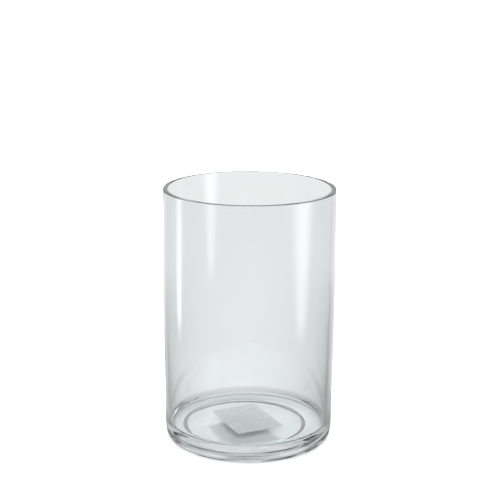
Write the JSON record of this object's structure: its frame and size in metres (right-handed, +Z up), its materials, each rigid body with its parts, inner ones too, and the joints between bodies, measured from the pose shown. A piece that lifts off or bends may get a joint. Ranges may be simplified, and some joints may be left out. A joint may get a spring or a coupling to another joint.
{
  "type": "cylinder vase",
  "caption": "Clear glass cylinder vase with straight walls, a thick floor, a flat polished rim and a blank paper label under the base.",
  "frame": {"origin": "centre of the base, on the plane the vase stands on", "axes": "+Z up the axis of the cylinder, out of the mouth; X and Y are any two directions across it, and the label's long edge lies 64 degrees clockwise of +X seen from above"},
  "size_m": [0.1, 0.1, 0.15],
  "materials": {
    "clear_glass": "polished",
    "adhesive_film": "gloss",
    "label_paper": "matt"
  },
  "bodies": {
    "root": {"glass_body": "clear_glass", "label_adhesive": "adhesive_film", "label_paper": "label_paper"}
  },
  "joints": []
}
